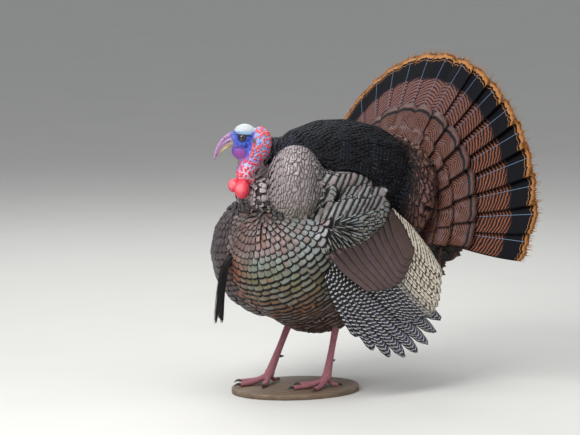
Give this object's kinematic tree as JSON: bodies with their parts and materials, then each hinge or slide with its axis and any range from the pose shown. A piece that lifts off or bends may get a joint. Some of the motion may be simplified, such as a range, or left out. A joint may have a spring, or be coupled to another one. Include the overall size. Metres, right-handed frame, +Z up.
{
  "type": "wild turkey",
  "caption": "Life-size wild turkey cock standing in full strut: fanned tail, puffed body, drooped barred wings, bare head with snood, beard, spurred legs, on a flat oval board.",
  "frame": {"origin": "middle of the whole outline seen from above, at the underside of the board", "axes": "the bird faces -Y, +X is towards its left side, +Z is up"},
  "size_m": [0.7824, 0.656, 0.7663],
  "materials": {
    "breast_feathers": "bronze and copper body feathers, each edged with black",
    "mantle_feathers": "silvery lilac feathers with fine dark edges",
    "wing_coverts": "silver-green and bronze feathers with black edges",
    "wing_panel": "smooth brown-bronze greater coverts",
    "barred_quills": "flight feathers barred black and white",
    "tail_feathers": "finely barred chestnut feathers with a black band and a buff tip",
    "tail_coverts": "barred chestnut feathers with a dark edge",
    "red_skin": "bare red skin, slightly glossy",
    "blue_skin": "bare blue and white skin, slightly glossy",
    "neck_skin": "beaded red and bluish-white skin",
    "horn": "pale horn",
    "dark_horn": "dark horn",
    "leg_scales": "pinkish scales",
    "beard_bristle": "coarse black bristles",
    "eye": "glossy dark brown",
    "board": "plain matt board"
  },
  "bodies": {
    "root": {"beard": "beard_bristle", "bill_lower": "horn", "bill_upper": "horn", "caruncle_left": "red_skin", "caruncle_right": "red_skin", "claw_left_hind": "dark_horn", "claw_left_inner": "dark_horn", "claw_left_middle": "dark_horn", "claw_left_outer": "dark_horn", "claw_right_hind": "dark_horn", "claw_right_inner": "dark_horn", "claw_right_middle": "dark_horn", "claw_right_outer": "dark_horn", "eye_left": "eye", "eye_right": "eye", "foot_left": "leg_scales", "foot_right": "leg_scales", "head": "blue_skin", "mantle_left": "mantle_feathers", "mantle_right": "mantle_feathers", "neck": "neck_skin", "scapulars_left": "wing_coverts", "scapulars_right": "wing_coverts", "shank_left": "leg_scales", "shank_right": "leg_scales", "snood": "red_skin", "spur_left": "dark_horn", "spur_right": "dark_horn", "stand_base": "board", "tail_coverts": "tail_coverts", "tail_fan": "tail_feathers", "thigh_left": "breast_feathers", "thigh_right": "breast_feathers", "throat": "blue_skin", "trunk": "breast_feathers", "under_tail": "tail_coverts", "wing_left_coverts": "wing_coverts", "wing_left_panel": "wing_panel", "wing_left_primaries": "barred_quills", "wing_left_secondaries": "barred_quills", "wing_right_coverts": "wing_coverts", "wing_right_panel": "wing_panel", "wing_right_primaries": "barred_quills", "wing_right_secondaries": "barred_quills"}
  },
  "joints": []
}
